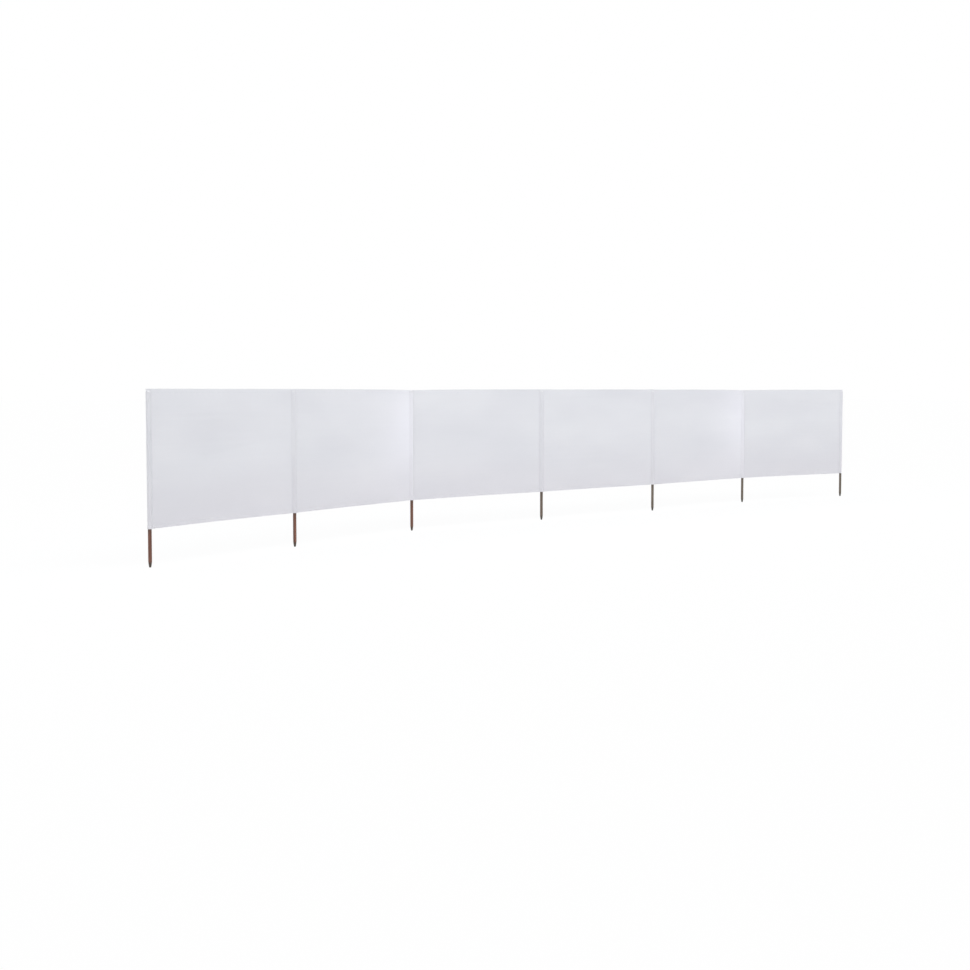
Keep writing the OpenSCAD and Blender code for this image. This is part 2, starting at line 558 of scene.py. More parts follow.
@dataclass(frozen=True)
class Line:
    """The line of poles and the heights along it, read from the frame.

    Attributes:
        poles: each pole's centre on the ground.
        headings: each bay's direction in radians from +X.
        hem_z: height of the lower hem.
        top_z: height of the cloth's top edge.
        pole_top_z: height of a pole's top.
        pole_r: radius of a pole.
        reach: distance from a pole's axis to its sleeve's sewn edge.
        bow: how far a bay bows to the back.
    """

    poles: Array
    headings: Array
    hem_z: float
    top_z: float
    pole_top_z: float
    pole_r: float
    reach: float
    bow: float

    @staticmethod
    def from_frame() -> "Line":
        """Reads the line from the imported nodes.

        The two middle bays lie along X, so sizes are read from the boxes of one of them and the sleeve
        between them.

        Returns:
            The line of poles.
        """
        corners = [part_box(f"pole_{k}") for k in range(1, POLES + 1)]
        poles = np.array([[(lo.x + hi.x) / 2, (lo.y + hi.y) / 2] for lo, hi in corners])
        steps = np.diff(poles, axis=0)
        cloth_lo, cloth_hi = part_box(f"fabric_bay_{MIDDLE_POLE - 1}")
        sleeve_lo, sleeve_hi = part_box(f"pole_sleeve_{MIDDLE_POLE}")
        pole_lo, pole_hi = corners[0]
        # Half a thickness lies in front of the cloth's middle and half behind, so they cancel in the bow.
        return Line(poles=poles, headings=np.arctan2(steps[:, 1], steps[:, 0]), hem_z=cloth_lo.z,
                    top_z=cloth_hi.z, pole_top_z=pole_hi.z, pole_r=(pole_hi.x - pole_lo.x) / 2,
                    reach=(sleeve_hi.x - sleeve_lo.x) / 2, bow=cloth_lo.y + cloth_hi.y)

    @property
    def height(self) -> float:
        """Height of the cloth."""
        return self.top_z - self.hem_z

    @property
    def middle(self) -> Array:
        """Centre of the middle pole on the ground."""
        return self.poles[MIDDLE_POLE - 1]

    def bay_length(self, bay: int) -> float:
        """Distance between the axes of a bay's two poles."""
        return float(np.linalg.norm(self.poles[bay] - self.poles[bay - 1]))

    def bay_axes(self, bay: int) -> tuple[Array, Array, Array]:
        """Gives a bay's start, its direction along and its direction to the back, all on the ground."""
        cos, sin = math.cos(self.headings[bay - 1]), math.sin(self.headings[bay - 1])
        return self.poles[bay - 1], np.array([cos, sin]), np.array([-sin, cos])


# Cloth meshes


def sheet_parts(middle: Array, outward: Array, outer: Array, inner: Array,
                chart: Array) -> tuple[Array, Array, Array]:
    """Gives a surface its thickness on both sides and closes it round its edge.

    Args:
        middle: rows by columns of points on the middle of the cloth.
        outward: the direction across the cloth at each point.
        outer: how far the outer face lies from the middle.
        inner: how far the inner face lies from the middle, on the other side.
        chart: the place of each point on the flat cloth, in metres.

    Returns:
        Points, four-cornered faces and each point's place on the flat cloth.
    """
    rows, cols = middle.shape[:2]
    count = rows * cols
    points = np.concatenate([(middle + outward * outer[..., None]).reshape(-1, 3),
                             (middle - outward * inner[..., None]).reshape(-1, 3)])
    index = np.arange(count).reshape(rows, cols)
    quads = np.stack([index[:-1, :-1], index[:-1, 1:], index[1:, 1:], index[1:, :-1]], -1).reshape(-1, 4)
    ring = np.concatenate([index[0, :-1], index[:-1, -1], index[-1, :0:-1], index[:0:-1, 0]])
    after = np.roll(ring, -1)
    rim = np.stack([after, ring, ring + count, after + count], -1)
    faces = np.concatenate([quads, quads[:, ::-1] + count, rim])
    return points, faces, np.concatenate([chart.reshape(-1, 2)] * 2)


def mesh_piece(name: str, points: Array, faces: list[list[int]], finish: Material,
               chart: Array | None = None) -> Piece:
    """Makes a smooth-shaded mesh object in the scene.

    Args:
        name: the piece's name.
        points: its vertices.
        faces: its faces.
        finish: its material.
        chart: each vertex's place on the flat cloth, for the cloth's own map.

    Returns:
        The object.
    """
    mesh = bpy.data.meshes.new(name)
    mesh.from_pydata(points.tolist(), [], faces)
    mesh.polygons.foreach_set("use_smooth", [True] * len(mesh.polygons))
    if chart is not None:
        corners = np.zeros(len(mesh.loops), np.int32)
        mesh.loops.foreach_get("vertex_index", corners)
        places = chart[corners].astype(np.float32).ravel()
        mesh.uv_layers.new(name=CLOTH_MAP).data.foreach_set("uv", places)
    mesh.validate()
    mesh.update()
    mesh.materials.append(finish)
    piece = bpy.data.objects.new(name, mesh)
    bpy.context.scene.collection.objects.link(piece)
    return piece


@dataclass(frozen=True)
class Marks:
    """A family of irregular marks in the cloth.

    Attributes:
        count: how many there are.
        deep: how deep the deepest can be.
        length: length of the shortest and the longest.
    """

    count: int
    deep: float
    length: tuple[float, float]


@dataclass
class ClothRelief:
    """How one bay's cloth departs from flat: bow, waves, creases, and puckers along seams and hems.

    Attributes:
        seed: what makes this bay's relief its own.
        width: the bay's width between the sleeves' sewn edges.
        height: the cloth's height.
        bow: how far the middle bows to the back.
        bow_lost: the share of the bow that is lost at the hems, which hold tighter.
        held: how far from a sleeve the cloth is still held by it.
        waves: the soft waves, with their length up the cloth.
        wave_along: their shortest and longest length along the bay.
        wave_share: the least and most of its depth that a wave takes.
        creases: the faint handling creases.
        creases_within: the shares of the width and of the height that their middles lie between.
        crease_width: width of the finest and the softest crease.
        crease_slope: how far the creases' slopes spread.
        seam_puckers: the puckers beside each sleeve.
        pucker_start: how far from a sleeve they rise.
        pucker_reach: how far from a sleeve they fade.
        hem_puckers: the puckers along each hem.
        hem_reach: how far from a hem's stitches they fade.
        pucker_share: the least and most of its depth that a pucker takes.
        stitch_at: distance of a hem's stitches from its edge.
    """

    seed: int
    width: float
    height: float
    bow: float
    bow_lost: float = 0.14
    held: float = 0.10
    waves: Marks = Marks(5, 2.4 * MM, (0.26, 0.62))
    wave_along: tuple[float, float] = (1.1, 3.2)
    wave_share: tuple[float, float] = (0.35, 1.0)
    creases: Marks = Marks(9, 1.1 * MM, (0.10, 0.34))
    creases_within: tuple[tuple[float, float], ...] = ((0.1, 0.9), (0.08, 0.92))
    crease_width: tuple[float, float] = (5 * MM, 14 * MM)
    crease_slope: float = 0.09
    seam_puckers: Marks = Marks(4, 0.5 * MM, (24 * MM, 60 * MM))
    pucker_start: float = 6 * MM
    pucker_reach: float = 38 * MM
    hem_puckers: Marks = Marks(3, 0.5 * MM, (30 * MM, 70 * MM))
    hem_reach: float = 14 * MM
    pucker_share: tuple[float, float] = (0.4, 1.0)
    stitch_at: float = 22 * MM

    def depth(self, x: Array, z: Array) -> Array:
        """How far the cloth lies to the back of the straight line between its sleeves.

        Args:
            x: distance along the bay from the first sewn edge.
            z: height above the lower hem.

        Returns:
            The depth at each place, in metres.
        """
        rng = np.random.default_rng(self.seed)
        s, t = np.clip(x / self.width, 0, 1), z / self.height
        edge = np.clip(np.minimum(x, self.width - x), 0, None)
        free = 1 - np.exp(-((edge / self.held) ** 2))
        depth = self.bow * 4 * s * (1 - s) * (1 - self.bow_lost * (1 - np.sin(math.pi * t)))
        for _ in range(self.waves.count):
            up = rng.uniform(*self.waves.length)
            along = rng.uniform(*self.wave_along) * rng.choice([-1, 1])
            share = rng.uniform(*self.wave_share)
            depth += free * self.waves.deep * share * wave(z / up + x / along + rng.random())
        across, upright = self.creases_within
        for _ in range(self.creases.count):
            at_x, at_z = rng.uniform(*across) * self.width, rng.uniform(*upright) * self.height
            slope, half = rng.normal(0, self.crease_slope), rng.uniform(*self.creases.length)
            off = z - at_z - slope * (x - at_x)
            line = bump_at(off, 0.0, rng.uniform(*self.crease_width)) * bump_at(x, at_x, half)
            depth += free * rng.uniform(-1, 1) * self.creases.deep * line
        beside = np.exp(-edge / self.pucker_reach) * (1 - np.exp(-edge / self.pucker_start))
        depth += self.puckers(rng, self.seam_puckers, z) * beside
        for stitch in (self.stitch_at, self.height - self.stitch_at):
            near = np.exp(-np.abs(z - stitch) / self.hem_reach) * free
            depth += self.puckers(rng, self.hem_puckers, x) * near
        return depth

    def puckers(self, rng: np.random.Generator, marks: Marks, run: Array) -> Array:
        """Adds up the puckers of one seam.

        Args:
            rng: where the random draws come from.
            marks: the puckers.
            run: distance along the seam.

        Returns:
            Their depth at each place, before they fade away from the seam.
        """
        depth = np.zeros_like(run)
        for _ in range(marks.count):
            length = rng.uniform(*marks.length)
            depth += marks.deep * rng.uniform(*self.pucker_share) * wave(run / length + rng.random())
        return depth


@dataclass
class Seam:
    """A run of stitches on the cloth.

    Attributes:
        at: where each stitch lies.
        along: which way it runs.
        out: which way the cloth faces there.
    """

    at: Array
    along: Array
    out: Array


@dataclass(frozen=True)
class Stitcher:
    """Makes runs of lock stitches as small solid dashes of thread.

    Attributes:
        pitch: distance from stitch to stitch.
        length: length of a stitch.
        width: its width.
        rise: how far it stands above the cloth, and how deep it goes in.
    """

    pitch: float = 4.2 * MM
    length: float = 3.0 * MM
    width: float = 0.75 * MM
    rise: float = 0.35 * MM

    def sew(self, name: str, seams: Sequence[Seam], finish: Material) -> Piece:
        """Builds the stitches of several seams as one piece.

        Args:
            name: the piece's name.
            seams: the runs of stitches, one place for each stitch.
            finish: the thread's material.

        Returns:
            The piece, in which each stitch is a closed eight-sided dash.
        """
        shape = np.array([[-1, 0, 0], [1, 0, 0], [0, -1, 0], [0, 1, 0], [0, 0, -1], [0, 0, 1]], float)
        shape *= np.array([self.length / 2, self.width / 2, self.rise])
        upper = np.array([[0, 2, 5], [2, 1, 5], [1, 3, 5], [3, 0, 5]])
        lower = np.array([[2, 0, 4], [1, 2, 4], [3, 1, 4], [0, 3, 4]])
        places = []
        for seam in seams:
            axes = np.stack([seam.along, np.cross(seam.out, seam.along), seam.out], 1)
            places.append((seam.at[:, None, :] + shape @ axes).reshape(-1, 3))
        points = np.concatenate(places)
        starts = np.arange(len(points) // len(shape)) * len(shape)
        faces = np.concatenate([upper, lower])[None] + starts[:, None, None]
        return mesh_piece(name, points, faces.reshape(-1, 3).tolist(), finish)


@dataclass
class BayCloth:
    """One bay of cloth between two sleeves, hemmed at top and bottom and sewn into the sleeves.

    Attributes:
        line: the line of poles.
        bay: the bay's number, from 1.
        dips: for each of its two poles, how far the top edge drops there.
        lap: how far the cloth goes on between the two layers of a sleeve.
        ply: thickness of one layer.
        hem: depth of the folded hems.
        fold: extra thickness of a folded hem, on the back.
        fold_starts: how far from a sleeve a fold has its full thickness.
        fold_step: the heights from a fold's edge between which its thickness ends.
        dent: how deep the hems' stitches pull in.
        dent_width: half the width of their dent.
        rounding: share of the thickness that is rounded off at an edge, and how far in that goes.
        sag: how far from a pole its dip has mostly gone.
        sags_above: the share of the height above which the dip pulls at the cloth.
        pattern_step: how much further along the weave's pattern each bay starts.
        seed: what its bay's number is added to for the random draws.
        relief: how its surface departs from flat.
    """

    line: Line
    bay: int
    dips: tuple[float, float]
    lap: float = 5 * MM
    ply: float = 0.8 * MM
    hem: float = 25 * MM
    fold: float = 0.9 * MM
    fold_starts: float = 3 * MM
    fold_step: tuple[float, float] = (-1.0 * MM, 0.6 * MM)
    dent: float = 0.25 * MM
    dent_width: float = 1.3 * MM
    rounding: tuple[float, float] = (0.65, 1.5 * MM)
    sag: float = 0.30
    sags_above: float = 0.45
    pattern_step: float = 1.7
    seed: int = 40
    relief: ClothRelief = field(init=False)

    def __post_init__(self) -> None:
        """Works out the relief from the bay's own width."""
        width = self.line.bay_length(self.bay) - 2 * self.line.reach
        self.relief = ClothRelief(self.seed + self.bay, width, self.line.height, self.line.bow)

    @property
    def back(self) -> Array:
        """Direction to the back of the bay."""
        return np.append(self.line.bay_axes(self.bay)[2], 0.0)

    @property
    def flat(self) -> tuple[float, float]:
        """Width and height of the flat cloth, with its sewn-in ends and its folded hems."""
        return self.relief.width + 2 * self.lap, self.relief.height + 2 * self.hem

    def columns(self) -> Array:
        """Places along the bay, closer together by the seams."""
        w = self.relief.width
        return spaced([(-self.lap, 2.5 * MM), (0.0, 3 * MM), (30 * MM, 9.6 * MM), (w - 30 * MM, 3 * MM),
                       (w, 2.5 * MM)], w + self.lap)

    def rows(self) -> Array:
        """Heights above the lower hem, closer together over the hems and their stitches."""
        h = self.relief.height
        return spaced([(0.0, 0.8 * MM), (1.6 * MM, 5 * MM), (20 * MM, 1.2 * MM), (26 * MM, 4 * MM),
                       (34 * MM, 8.4 * MM), (h - 34 * MM, 4 * MM), (h - 26 * MM, 1.2 * MM),
                       (h - 20 * MM, 5 * MM), (h - 1.6 * MM, 0.8 * MM)], h)

    def top_drop(self, x: Array) -> Array:
        """How far the top edge hangs below level at each place along the bay."""
        after, before = np.clip(x, 0, None), np.clip(self.relief.width - x, 0, None)
        return self.dips[0] * np.exp(-after / self.sag) + self.dips[1] * np.exp(-before / self.sag)

    def middle(self, x: Array, z: Array) -> Array:
        """Places on the middle of the cloth.

        Args:
            x: distance along the bay from the first sewn edge.
            z: height above the lower hem on the flat cloth.

        Returns:
            Points in the frame.
        """
        start, along, back = self.line.bay_axes(self.bay)
        depth = self.relief.depth(x, z)[..., None]
        ground = start + along * (x + self.line.reach)[..., None] + back * depth
        pulled = smoothstep(z / self.relief.height, self.sags_above, 1.0)
        height = self.line.hem_z + z - self.top_drop(x) * pulled
        return np.concatenate([ground, height[..., None]], -1)

    def thickness(self, x: Array, z: Array, face: Face) -> Array:
        """How far a face lies from the middle of the cloth.

        Hems are folded to the back, but not inside a sleeve.

        Args:
            x: distance along the bay from the first sewn edge.
            z: height above the lower hem.
            face: which face.

        Returns:
            The distance at each place, with the dents of the stitches and the rounding of the edges.
        """
        edge = np.minimum(z, self.relief.height - z)
        half = np.full_like(z, self.ply / 2)
        if face is Face.BACK:
            free = np.clip(np.minimum(x, self.relief.width - x) / self.fold_starts, 0, 1)
            half += self.fold * free * (1 - smoothstep(edge - self.hem, *self.fold_step))
        lost, inwards = self.rounding
        rim = 1 - lost * (1 - smoothstep(edge, 0.0, inwards))
        return (half - self.dent * bump_at(edge, self.relief.stitch_at, self.dent_width)) * rim

    def build(self, finish: Material) -> Piece:
        """Builds the bay's mesh.

        Args:
            finish: the cloth's material.

        Returns:
            The piece.
        """
        x, z = np.meshgrid(self.columns(), self.rows())
        middle = self.middle(x, z)
        front, back = self.thickness(x, z, Face.FRONT), self.thickness(x, z, Face.BACK)
        # Each bay starts further along the pattern, so that no two look alike.
        chart = np.stack([x + self.bay * self.pattern_step, z], -1)
        forward = np.broadcast_to(-self.back, middle.shape)
        points, faces, places = sheet_parts(middle, forward, front, back, chart)
        return mesh_piece(f"cloth_bay_{self.bay}", points, faces.tolist(), finish, places)

    def seams(self, pitch: float) -> list[Seam]:
        """The stitch lines of both hems, on both faces.

        Args:
            pitch: distance from stitch to stitch.

        Returns:
            One seam for each hem and face.
        """
        seams = []
        clear, near = 4 * MM, 1 * MM
        x = np.arange(clear, self.relief.width - clear, pitch)
        for level in (self.relief.stitch_at, self.relief.height - self.relief.stitch_at):
            z = np.full_like(x, level)
            at = self.middle(x, z)
            along = self.middle(x + near, z) - self.middle(x - near, z)
            along /= np.linalg.norm(along, axis=1)[:, None]
            for face in Face:
                out = np.broadcast_to(self.back * face.value, at.shape)
                seams.append(Seam(at + out * self.thickness(x, z, face)[:, None], along, out))
        return seams


@dataclass(frozen=True)
class Tuck:
    """A long groove between two soft ridges, where a sleeve's slack gathers beside the pole.

    Attributes:
        bearing_deg: where it lies round the pole, anticlockwise from +X.
        top: how far up it goes, as a share of the cloth's height.
        depth: height of its ridges.
        drift_deg: how much further round it lies at the top.
        width: width of a ridge.
        ridges_at: how far from its middle the ridges stand, in ridge widths.
        fades: the share of the cloth's height over which it fades out below its top.
        thins: how much its ridges thin and swell on their way up.
        swells: how fast they do so, in radians over the cloth's height.
    """

    bearing_deg: float
    top: float = 0.92
    depth: float = 1.8 * MM
    drift_deg: float = 0.0
    width: float = 2.2 * MM
    ridges_at: float = 1.4
    fades: float = 0.18
    thins: float = 0.25
    swells: float = 9.0

    def rise(self, bearing: Array, share: Array, radius: float) -> Array:
        """How far the ridges stand off the pole.

        Args:
            bearing: where each point lies round the pole, in radians.
            share: each point's height as a share of the cloth's height.
            radius: the sleeve's radius.

        Returns:
            What the ridges add to the radius at each point.
        """
        off = bearing - np.radians(self.bearing_deg + self.drift_deg * share)
        off = (np.mod(off + math.pi, 2 * math.pi) - math.pi) * radius
        ridges = sum(bump_at(off, side * self.ridges_at * self.width, self.width) for side in (-1, 1))
        fuller = 1 - self.thins + self.thins * np.sin(self.swells * share + self.bearing_deg)
        return self.depth * ridges * fuller * (1 - smoothstep(share, self.top - self.fades, self.top))


@dataclass
class Sleeve:
    """A pole's sleeve: cloth round the pole, sewn flat beside it, closed above it and open below.

    Attributes:
        line: the line of poles.
        pole: the pole's number, from 1.
        dip: how far the top edge drops at this pole.
        tucks: the grooves in its slack cloth.
        gap: slack between the pole and the cloth.
        ply: thickness of one layer.
        seam: width of the flat sewn edge.
        nest: clearance between the sewn edge and the bay's cloth inside it.
        bay_half_ply: half the thickness of the bay's cloth.
        shoulder: where, above the pole's top, the cloth starts to close and lies flat.
        flat_spread: how much wider a layer gets where it is pressed flat.
        folds: its loose folds, with their length up the pole.
        fold_round: their length towards the bay.
        folds_in: how far inside the slope's end they are full.
        folds_stop: the heights from the pole's top between which they stop.
        tucks_in: how far inside the slope's end the tucks start and are full.
        puckers: the puckers at the stitches.
        pucker_at: how far inside the flat edge the puckers lie.
        pucker_width: half their width.
        mouth: depth of the folded mouth.
        mouth_flare: how much wider it is at the open mouth.
        mouth_closes: how far above the mouth's fold it has got as narrow as the rest.
        mouth_fold: extra thickness of the folded mouth.
        fold_step: the heights from that fold's edge between which its thickness ends.
        folded: the share of a layer's width, from its middle, that is folded at the mouth.
        rounding: share of the thickness that is rounded off at an edge, and how far in that goes.
        pattern_steps: how much further along the weave's pattern each pole and each layer starts.
        steps: number of points along the flat edge, the slope and the round.
        strips: width of the flat cloth at an end pole and at one between bays.
        hem: depth of cloth that the folded mouth takes.
        seed: what ten times its pole's number is added to for the random draws.
    """

    line: Line
    pole: int
    dip: float
    tucks: tuple[Tuck, ...]
    gap: float = 0.35 * MM
    ply: float = 0.7 * MM
    seam: float = 6 * MM
    nest: float = 0.06 * MM
    bay_half_ply: float = 0.4 * MM
    shoulder: tuple[float, float] = (1.2 * MM, 13 * MM)
    flat_spread: float = 0.30
    folds: Marks = Marks(3, 0.8 * MM, (0.07, 0.32))
    fold_round: float = 0.09
    folds_in: float = 5 * MM
    folds_stop: tuple[float, float] = (-6 * MM, 4 * MM)
    tucks_in: tuple[float, float] = (1 * MM, 6 * MM)
    puckers: Marks = Marks(2, 0.55 * MM, (18 * MM, 34 * MM))
    pucker_at: float = 2.5 * MM
    pucker_width: float = 2.2 * MM
    mouth: float = 18 * MM
    mouth_flare: float = 0.8 * MM
    mouth_closes: float = 12 * MM
    mouth_fold: float = 0.55 * MM
    fold_step: tuple[float, float] = (-1 * MM, 1 * MM)
    folded: float = 0.55
    rounding: tuple[float, float] = (0.6, 1.5 * MM)
    pattern_steps: tuple[float, float] = (0.9, 0.3)
    steps: tuple[int, int, int] = (3, 6, 18)
    strips: tuple[float, float] = (0.095, 0.115)
    hem: float = 20 * MM
    seed: int = 100

    @property
    def centre(self) -> Array:
        """The pole's centre on the ground."""
        return self.line.poles[self.pole - 1]

    @property
    def sides(self) -> list[float]:
        """Directions from the pole to its bays, in radians, the next bay first."""
        before = [self.line.headings[self.pole - 2] + math.pi] if self.pole > 1 else []
        return list(self.line.headings[self.pole - 1:self.pole]) + before

    @property
    def slope_end(self) -> float:
        """Distance from the pole's axis at which the slope meets the flat sewn edge."""
        return self.line.reach - self.seam

    @property
    def flat_half(self) -> float:
        """How far the middle of a layer lies from the middle of the bay's cloth at the sewn edge."""
        return self.bay_half_ply + self.nest + self.ply / 2

    @property
    def flat(self) -> tuple[float, float]:
        """Width and height of the flat cloth, with its folded mouth."""
        return self.strips[len(self.sides) - 1], self.line.height + self.hem

    def levels(self) -> Array:
        """Heights of the rows of points, closer together at the hem and over the pole's top."""
        low, pole_top = self.line.hem_z, self.line.pole_top_z
        return spaced([(low, 1.5 * MM), (low + 3 * MM, 5.6 * MM), (pole_top - 4 * MM, 1.3 * MM),
                       (pole_top + 10 * MM, 2.5 * MM)], self.line.top_z)

    def round_radius(self, z: Array) -> Array:
        """Radius of the middle of a layer round the pole, a little wider at the open mouth."""
        closing = smoothstep(z - self.line.hem_z, self.mouth, self.mouth + self.mouth_closes)
        return self.line.pole_r + self.gap + self.ply / 2 + self.mouth_flare * (1 - closing)

    def half_path(self, z: Array, direction: float, sign: float, meet: float, seed: int) -> Array:
        """One layer from its sewn edge over half the pole, and flat above the pole.

        Args:
            z: the heights of the rows.
            direction: the direction of the bay on this side.
            sign: 1 or -1, the side of the bay's cloth that the layer is on.
            meet: the angle from the direction at which it meets its other half.
            seed: what makes its looseness its own.

        Returns:
            Rows by columns of points on the ground, relative to the pole, from the edge inwards.
        """
        slope_end, h = self.slope_end, self.flat_half
        flats, slopes, rounds = self.steps
        r = self.round_radius(z)[:, None]
        tangent = np.arccos(np.clip(r / math.hypot(slope_end, h), -1, 1)) + math.atan2(h, slope_end)
        flat = np.linspace(self.line.reach, slope_end, flats)[None, :-1] + 0 * r
        s = np.linspace(0, 1, slopes)[None, :-1]
        angle = tangent + np.linspace(0, 1, rounds)[None] * (meet - tangent)
        across = [flat, slope_end + s * (r * np.cos(tangent) - slope_end), r * np.cos(angle)]
        off = [np.full_like(flat, h), h + s * (r * np.sin(tangent) - h), r * np.sin(angle)]
        path = np.stack([np.concatenate(across, 1), np.concatenate(off, 1)], -1)
        path += self.looseness(z, path, seed)
        low, high = self.shoulder
        over = smoothstep(z, self.line.pole_top_z + low, self.line.pole_top_z + high)[:, None]
        path[..., 1] += over * (np.minimum(path[..., 1], h) - path[..., 1])
        path[..., 0] *= np.where(path[..., 0] < 0, 1 + self.flat_spread * over, 1.0)
        path[..., 1] *= sign
        cos, sin = math.cos(direction), math.sin(direction)
        path = path @ np.array([[cos, sin], [-sin, cos]])
        return path + self.gathered(z, path, float(r[-1, 0])) * (1 - over)[..., None]

    def gathered(self, z: Array, path: Array, radius: float) -> Array:
        """How far the tucks' ridges move the cloth out from the pole.

        Args:
            z: the heights of the rows.
            path: the cloth's line, relative to the pole.
            radius: the sleeve's radius above its mouth.

        Returns:
            What to add to each point, which fades out before the sewn edge.
        """
        share = (z[:, None] - self.line.hem_z) / self.line.height
        bearing = np.arctan2(path[..., 1], path[..., 0])
        inside = self.slope_end - np.linalg.norm(path, axis=-1)
        rise = sum(tuck.rise(bearing, share, radius) for tuck in self.tucks)
        outward = np.stack([np.cos(bearing), np.sin(bearing)], -1)
        return outward * (rise * smoothstep(inside, *self.tucks_in))[..., None]

    def looseness(self, z: Array, path: Array, seed: int) -> Array:
        """How far loose folds along the pole and puckers at the stitches stand off the tight line.

        Args:
            z: the heights of the rows.
            path: the tight line, on the positive side of the bay's cloth.
            seed: what makes it its own.

        Returns:
            What to add to each point.
        """
        rng = np.random.default_rng(seed)
        level, along = z[:, None], path[..., 0]
        outward = path / np.maximum(np.linalg.norm(path, axis=-1), 1e-6)[..., None]
        fullness = smoothstep(self.slope_end - along, 0.0, self.folds_in)
        below = 1 - smoothstep(level - self.line.pole_top_z, *self.folds_stop)
        near_seam = bump_at(along, self.slope_end - self.pucker_at, self.pucker_width)
        size = np.zeros_like(along)
        for marks, round_turns, where in ((self.folds, along / self.fold_round, fullness * below),
                                          (self.puckers, 0.0, near_seam)):
            for _ in range(marks.count):
                swell = 0.5 + 0.5 * wave(level / rng.uniform(*marks.length) + round_turns + rng.random())
                size += marks.deep / marks.count * swell * where
        return outward * size[..., None]

    def layers(self, z: Array) -> list[Array]:
        """The layers' lines from above at each height, with the cloth's outside to their left.

        Args:
            z: the heights of the rows.

        Returns:
            Two layers, or one that goes right round an end pole.
        """
        seed = self.seed + 10 * self.pole
        if len(self.sides) == 1:
            runs = [(self.sides[0], self.sides[0], math.pi, seed)]
        else:
            right, left = self.sides
            bend = right - (left - math.pi)
            runs = [(right, left, (math.pi + bend) / 2, seed),
                    (left, right, (math.pi - bend) / 2, seed + 1)]
        layers = []
        for first, last, meet, own_seed in runs:
            out = self.half_path(z, first, -1, meet, own_seed)
            home = self.half_path(z, last, 1, meet, own_seed)
            layers.append(np.concatenate([out, home[:, -2::-1]], 1))
        return layers

    def drop(self, z: Array) -> Array:
        """How far the cloth above the pole is pulled down at each height."""
        head = self.line.pole_top_z + self.shoulder[0]
        return self.dip * np.clip((z - head) / (self.line.top_z - head), 0, 1)

    def layer_parts(self, z: Array, path: Array, number: int) -> tuple[Array, Array, Array]:
        """Gives one layer its thickness, with a fold inside its open mouth.

        Args:
            z: the heights of the rows.
            path: the layer's line.
            number: which layer it is, from 0.

        Returns:
            The layer's points, faces and chart.
        """
        run = np.gradient(path, axis=1)
        run /= np.maximum(np.linalg.norm(run, axis=-1), 1e-9)[..., None]
        outward = np.stack([-run[..., 1], run[..., 0], np.zeros(run.shape[:2])], -1)
        height = np.broadcast_to((z - self.drop(z))[:, None], path.shape[:2])
        middle = np.concatenate([path + self.centre, height[..., None]], -1)
        up = z[:, None] - self.line.hem_z
        edge = np.minimum(up, self.line.height - up) + 0 * path[..., 0]
        lost, inwards = self.rounding
        rim = 1 - lost * (1 - smoothstep(edge, 0.0, inwards))
        half = self.ply / 2 * rim
        fold = self.mouth_fold * (1 - smoothstep(up - self.mouth, *self.fold_step)) * rim
        round_pole = np.abs(np.linspace(-1, 1, path.shape[1]))[None] < self.folded
        halfway = path[len(z) // 2]
        length = np.cumsum(np.linalg.norm(np.diff(halfway, axis=0, prepend=halfway[:1]), axis=1))
        pole_step, layer_step = self.pattern_steps
        start = self.pole * pole_step + number * layer_step
        chart = np.stack(np.broadcast_arrays(length[None] + start, up), -1)
        return sheet_parts(middle, outward, half, half + fold * round_pole, chart)

    def build(self, finish: Material) -> Piece:
        """Builds the sleeve's mesh.

        Args:
            finish: the cloth's material.

        Returns:
            The piece.
        """
        z = self.levels()
        parts = [self.layer_parts(z, path, number) for number, path in enumerate(self.layers(z))]
        points, faces, charts = zip(*parts)
        starts = np.cumsum([0] + [len(p) for p in points[:-1]])
        # The layers' outside lies to the left of their run, so their faces turn the other way round.
        turned = np.concatenate([f[:, ::-1] + start for f, start in zip(faces, starts)])
        return mesh_piece(f"sleeve_cloth_{self.pole}", np.concatenate(points), turned.tolist(), finish,
                          np.concatenate(charts))

    def seams(self, pitch: float) -> list[Seam]:
        """The stitch lines up both sewn edges and across the closed top, on both faces.

        Args:
            pitch: distance from stitch to stitch.

        Returns:
            The seams.
        """
        seams = []
        clear = 4 * MM
        z = np.arange(self.line.hem_z + clear, self.line.top_z - clear, pitch)
        x = np.arange(pitch / 2, self.slope_end, pitch)
        head = self.line.top_z - self.seam - self.dip
        for direction in self.sides:
            along = np.array([math.cos(direction), math.sin(direction), 0.0])
            for sign in (-1, 1):
                out = np.array([-along[1], along[0], 0.0]) * sign
                face = np.append(self.centre, 0.0) + out * (self.flat_half + self.ply / 2)
                up = UP * (z - self.drop(z))[:, None]
                beside = face + along * (self.line.reach - self.seam / 2) + up
                above = face + along * x[:, None] + UP * head
                for at, run in ((beside, UP), (above, along)):
                    seams.append(Seam(at, np.broadcast_to(run, at.shape), np.broadcast_to(out, at.shape)))
        return seams


